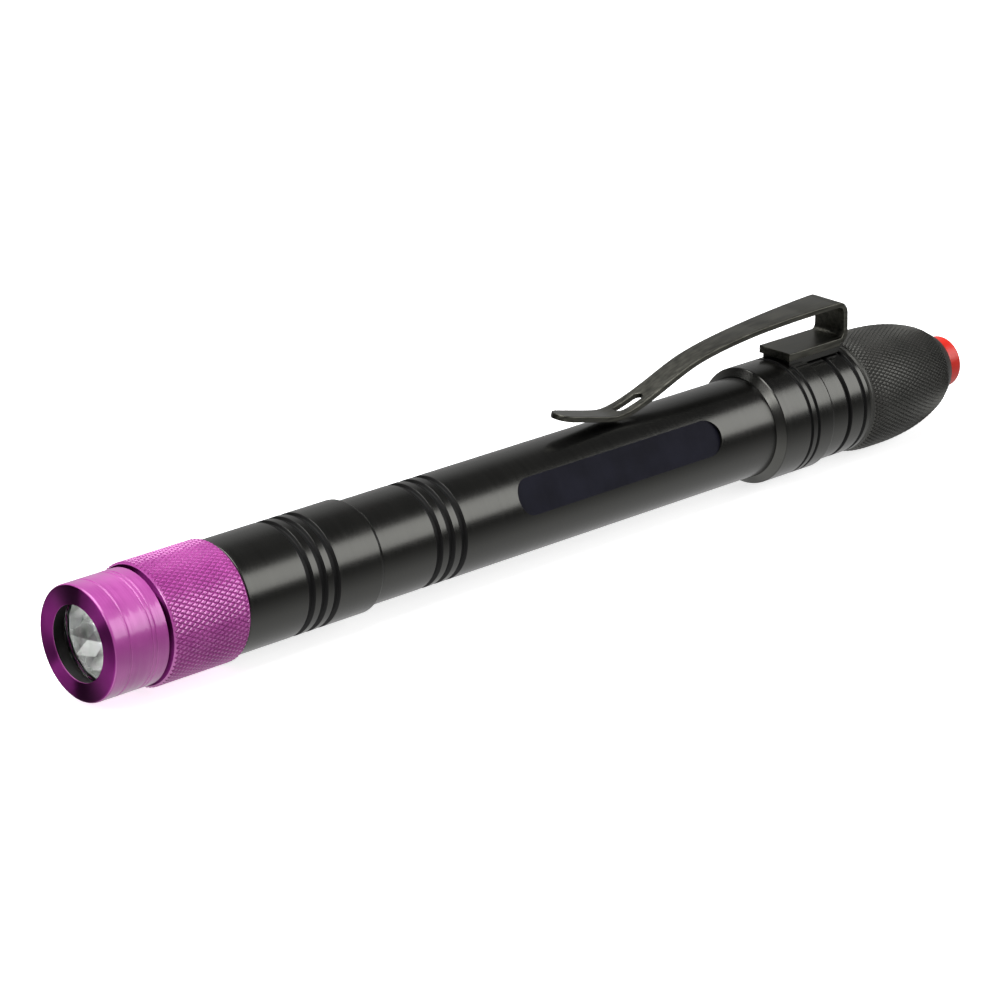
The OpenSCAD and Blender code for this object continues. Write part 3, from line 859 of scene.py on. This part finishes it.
def make_switch_spring():
    """Coil spring of the push switch.

    Its front end sits on the contact. It is built at rest and is not attached to the plunger or any
    body.
    """
    wire, turns, per_turn, sides = 0.2, 4, 36, 10
    start, end = station_low("switch_spring") + wire, station_high("switch_spring") - wire
    coil_radius = radius_of("switch_spring") - wire
    bm = bmesh.new()
    rings = []
    for k in range(turns * per_turn + 1):
        turn = 2 * math.pi * k / per_turn
        middle = start + (end - start) * k / (turns * per_turn)
        ring = []
        for j in range(sides):
            around = 2 * math.pi * j / sides
            radius = coil_radius + wire * math.cos(around)
            station = middle + wire * math.sin(around)
            y, height = radius * math.sin(turn), radius * math.cos(turn)
            ring.append(bm.verts.new(place(station, y, height)))
        rings.append(ring)
    join_chain(bm, rings)
    bm.faces.new(rings[0])
    bm.faces.new(rings[-1])
    smooth_faces(bm)
    piece = finished(bm, "switch_spring_wire")
    piece.data.materials.append(SPRING)
    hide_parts("switch_spring")
    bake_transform(piece)
    return piece


# ---------------------------------------------------------------- pocket clip

CLIP_THICKNESS = 0.7
FOOT_TOP, ARM_TOP = 8.65, 13.3
BEND, FOOT_BEND_RADIUS, ARM_BEND_RADIUS = 118.95, 1.0, 1.3
ARC_STEPS = 14


def bezier(a, b, c, d, steps):
    """Points along a cubic curve, without its first point."""
    a, b, c, d = (np.array(p, float) for p in (a, b, c, d))
    ts = [k / steps for k in range(1, steps + 1)]
    return [
        (1 - t) ** 3 * a + 3 * t * (1 - t) ** 2 * b + 3 * t * t * (1 - t) * c + t ** 3 * d
        for t in ts
    ]


def arc(centre, radius, first, last, steps=ARC_STEPS):
    angles = np.radians(np.linspace(first, last, steps + 1))
    return [
        np.array((centre[0] + radius * math.cos(a), centre[1] + radius * math.sin(a)))
        for a in angles
    ]


def clip_line():
    """Centre line of the strip, as (station, height) points from the foot to the tip."""
    half = CLIP_THICKNESS / 2
    low = BARREL_RADIUS + 0.35 + half
    foot = FOOT_TOP - half
    high = ARM_TOP - half
    knee, touch, tip = (92.0, 10.4), (80.3, low), (71.2, low + 1.95)
    arm_start = (BEND - ARM_BEND_RADIUS, high)
    return (
        [np.array((116.6, foot))]
        + arc((BEND - FOOT_BEND_RADIUS, foot + FOOT_BEND_RADIUS), FOOT_BEND_RADIUS, -90, 0)
        + arc((BEND - ARM_BEND_RADIUS, high - ARM_BEND_RADIUS), ARM_BEND_RADIUS, 0, 90)
        + bezier(arm_start, (104, 12.75), (95.5, 11.6), knee, 40)
        + bezier(knee, (88.6, 9.35), (84, low + 0.15), touch, 24)
        + bezier(touch, (79.1, low), (78, low + 0.35), tip, 24)
    )


def make_clip():
    """One strip of spring steel.

    A flat blank with a slot and a round tip is bent along the centre line.
    """
    line = np.array(clip_line())
    lengths = np.concatenate([[0.0], np.cumsum(np.linalg.norm(np.diff(line, axis=0), axis=1))])
    total = lengths[-1]
    upper_bend_end = 1 + (ARC_STEPS + 1) + ARC_STEPS
    arm_stations = line[upper_bend_end:, 0][::-1]
    arm_lengths = lengths[upper_bend_end:][::-1]

    def along(station):
        """Length along the strip where the arm passes a station."""
        return float(np.interp(station, arm_stations, arm_lengths))

    tip_radius = 1.72
    half_widths = [
        (0.0, 2.58), (along(117.0), 2.42), (along(112), 2.15), (along(104), 1.80),
        (along(95), 1.66), (along(88), 1.66), (along(83), 1.74), (total - tip_radius, tip_radius),
    ]
    tip = [(total - tip_radius + tip_radius * math.sin(a), tip_radius * math.cos(a))
           for a in (math.radians(7.5 * k) for k in range(1, 24))]
    outer = half_widths + tip + [(u, -w) for u, w in reversed(half_widths)]
    slot = slot_outline(along(85.5), along(81.1), 1.4, 16)

    bm = bmesh.new()
    for loop in (outer, slot):
        verts = [bm.verts.new((u, v, 0.0)) for u, v in loop]
        for a, b in zip(verts, verts[1:] + verts[:1]):
            bm.edges.new((a, b))
    bmesh.ops.triangle_fill(bm, edges=bm.edges[:], use_beauty=True)
    fine_end, fine_step, coarse_step = along(115), 0.16, 0.6
    cuts = [*np.arange(0.2, fine_end, fine_step), *np.arange(fine_end, total, coarse_step)]
    for u in cuts:
        geometry = bm.verts[:] + bm.edges[:] + bm.faces[:]
        bmesh.ops.bisect_plane(bm, geom=geometry, plane_co=(u, 0, 0), plane_no=(1, 0, 0), dist=1e-5)
    made = bmesh.ops.extrude_face_region(bm, geom=bm.faces[:])
    lifted = [v for v in made["geom"] if isinstance(v, bmesh.types.BMVert)]
    bmesh.ops.translate(bm, verts=lifted, vec=(0, 0, CLIP_THICKNESS))
    bmesh.ops.recalc_face_normals(bm, faces=bm.faces[:])
    corner = math.radians(60)
    rim = [e for e in bm.edges if e.is_manifold and e.calc_face_angle() > corner]
    bmesh.ops.bevel(bm, geom=rim, offset=0.13, segments=3, profile=0.6, affect="EDGES")
    slopes = np.gradient(line, lengths, axis=0)
    for v in bm.verts:
        u, across, level = v.co
        middle = [np.interp(u, lengths, line[:, k]) for k in (0, 1)]
        slope = [np.interp(u, lengths, slopes[:, k]) for k in (0, 1)]
        size = math.hypot(*slope)
        offset = level - CLIP_THICKNESS / 2
        station = middle[0] + offset * slope[1] / size
        height = middle[1] - offset * slope[0] / size
        v.co = place(station, across, height)
    smooth_faces(bm)
    piece = finished(bm, "pocket_clip_strip", CLIP_SHARP_ANGLE)
    piece.data.materials.append(CLIP_STEEL)
    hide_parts("clip_arm")
    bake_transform(piece)
    return piece


def block(name, start, end, width, bottom, top, rounding):
    """A straight block with rounded edges, centred on the clip."""
    plan = [(start, -width / 2), (end, -width / 2), (end, width / 2), (start, width / 2)]
    piece = prism(name, plan, bottom, top)
    bm = bmesh.new()
    bm.from_mesh(piece.data)
    bmesh.ops.bevel(bm, geom=bm.edges[:], offset=rounding * MM, segments=4, profile=0.6, affect="EDGES")
    smooth_faces(bm)
    bm.to_mesh(piece.data)
    bm.free()
    return piece


def make_clip_foot():
    """The plate under the strip, and the narrower pad below it that is let into the sleeve. The pad is
    black to stand in for the shade under the plate: painted shade.
    """
    low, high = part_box("clip_foot")
    start, width = station_low("clip_foot"), (high.y - low.y) / MM
    bottom, plate_bottom, inset = (low.z - AXIS_Z) / MM, FOOT_TOP - 1.0, 0.35
    end = BEND - FOOT_BEND_RADIUS
    plate = block("pocket_clip_foot", start, end, width, plate_bottom, FOOT_TOP, 0.12)
    dress(plate, "barrel", "clip_steel", CLIP_STEEL, "clip_foot")
    # The black pad below the plate is painted shade for the gap under the plate.
    pad_width, pad_top = width - 2 * inset, plate_bottom + 0.05
    shade_pad = block("pocket_clip_shade_pad", start + inset, end, pad_width, bottom, pad_top, 0.05)
    dress(shade_pad, "barrel", "black_anodised", BLACK)


# ---------------------------------------------------------------- build the pen

make_head_bezel()
make_window()
make_seal()
make_reflector()
make_led()
make_front_tube()
make_barrel()
make_sleeve()
make_tail_cap()
make_button()
make_switch_spring()
make_clip()
make_clip_foot()

NODE_SLOTS = {row["node"]: row["material_slot"] for row in frame["record"]["subparts"]}
for node, shown in frame["nodes"].items():
    shown.data.materials.clear()
    shown.data.materials.append(SLOT_MATERIALS[NODE_SLOTS[node]])

# ---------------------------------------------------------------- floor, light and camera


def make_floor():
    bm = bmesh.new()
    bmesh.ops.create_grid(bm, x_segments=8, y_segments=8, size=4.0)
    mesh = bpy.data.meshes.new("floor")
    bm.to_mesh(mesh)
    bm.free()
    floor = bpy.data.objects.new("floor", mesh)
    floor.location = (0, 0, cad_low.z)
    bpy.context.scene.collection.objects.link(floor)
    material, tree, shader = new_material(
        "floor_paper", (0.86, 0.86, 0.86), 0.9,
        Emission_Color=(1.0, 1.0, 1.0, 1.0), Emission_Strength=0.75,
    )
    paper = ramp(tree, noise(tree, 40.0), (0.85, 0.85, 0.85), (0.87, 0.87, 0.87))
    tree.links.new(paper, shader.inputs["Base Color"])
    mesh.materials.append(material)
    floor.visible_glossy = False
    floor.visible_diffuse = False


def softbox(name, towards, distance, width, height, brightness):
    """A rectangular light that faces the pen's middle from the given direction."""
    data = bpy.data.lights.new(name, "AREA")
    data.shape = "RECTANGLE"
    data.size, data.size_y = width, height
    data.energy = brightness * math.pi * width * height
    lamp = bpy.data.objects.new(name, data)
    direction = Vector(towards).normalized()
    lamp.location = place(75) + direction * distance
    lamp.rotation_euler = direction.to_track_quat("Z", "Y").to_euler()
    bpy.context.scene.collection.objects.link(lamp)


def make_world():
    """A plain studio: pale table below, soft pale wall behind the pen, darker room in front.

    On the head's side the table is brighter towards the camera and darker away from it.
    """
    world = bpy.data.worlds.new("studio")
    bpy.context.scene.world = world
    world.use_nodes = True
    tree = world.node_tree
    background = tree.nodes["Background"]
    where = tree.nodes.new("ShaderNodeTexCoord")
    parts = tree.nodes.new("ShaderNodeSeparateXYZ")
    tree.links.new(where.outputs["Generated"], parts.inputs["Vector"])
    head_side_from, head_side_to = -0.42, -0.08
    below = spread(tree, parts.outputs["Z"], 0.70, 0.08, -0.58, -0.02)
    head_side = spread(tree, parts.outputs["X"], 1.0, 0.0, head_side_from, head_side_to)
    near_table = spread(tree, parts.outputs["Y"], 3.0, -0.95, 0.35, 0.68)
    change = combine(tree, "MULTIPLY", below, combine(tree, "MULTIPLY", head_side, near_table))
    table = combine(tree, "ADD", below, change)
    behind = spread(tree, parts.outputs["Y"], 0.0, 0.44, 0.26, 0.64)
    wall_end = spread(tree, parts.outputs["X"], 0.05, 1.0, head_side_from, head_side_to)
    brightest = combine(tree, "MAXIMUM", table, combine(tree, "MULTIPLY", behind, wall_end))
    towards_tail = spread(tree, parts.outputs["X"], 0.50, 1.0, -0.45, 0.25)
    room = combine(tree, "MULTIPLY", brightest, towards_tail)
    rays = tree.nodes.new("ShaderNodeLightPath")
    seen = combine(tree, "MAXIMUM", room, rays.outputs["Is Camera Ray"])
    tree.links.new(seen, background.inputs["Color"])


def make_camera():
    """The photo's view: fitted to the ring grooves, the outlines and the ends of the pen."""
    azimuth, elevation = math.radians(-43.13), math.radians(20.42)
    data = bpy.data.cameras.new("camera")
    data.sensor_width = 36.0
    data.lens = 152.2
    data.clip_start = 0.01
    camera = bpy.data.objects.new("camera", data)
    camera.location = place(-254.5, -338.2, 173.2)
    camera.rotation_euler = (math.pi / 2 - elevation, 0, azimuth)
    bpy.context.scene.collection.objects.link(camera)
    bpy.context.scene.camera = camera


make_floor()
softbox("key_softbox", (0.64, -0.62, 0.46), 0.55, 0.50, 0.30, 3.1)
softbox("top_softbox", (-0.25, 0.10, 0.96), 0.80, 0.80, 0.90, 4.7)
softbox("front_softbox", (-0.87, -0.15, 0.47), 0.60, 0.16, 0.16, 8.0)
make_world()
make_camera()
bpy.context.scene.view_settings.view_transform = "Standard"
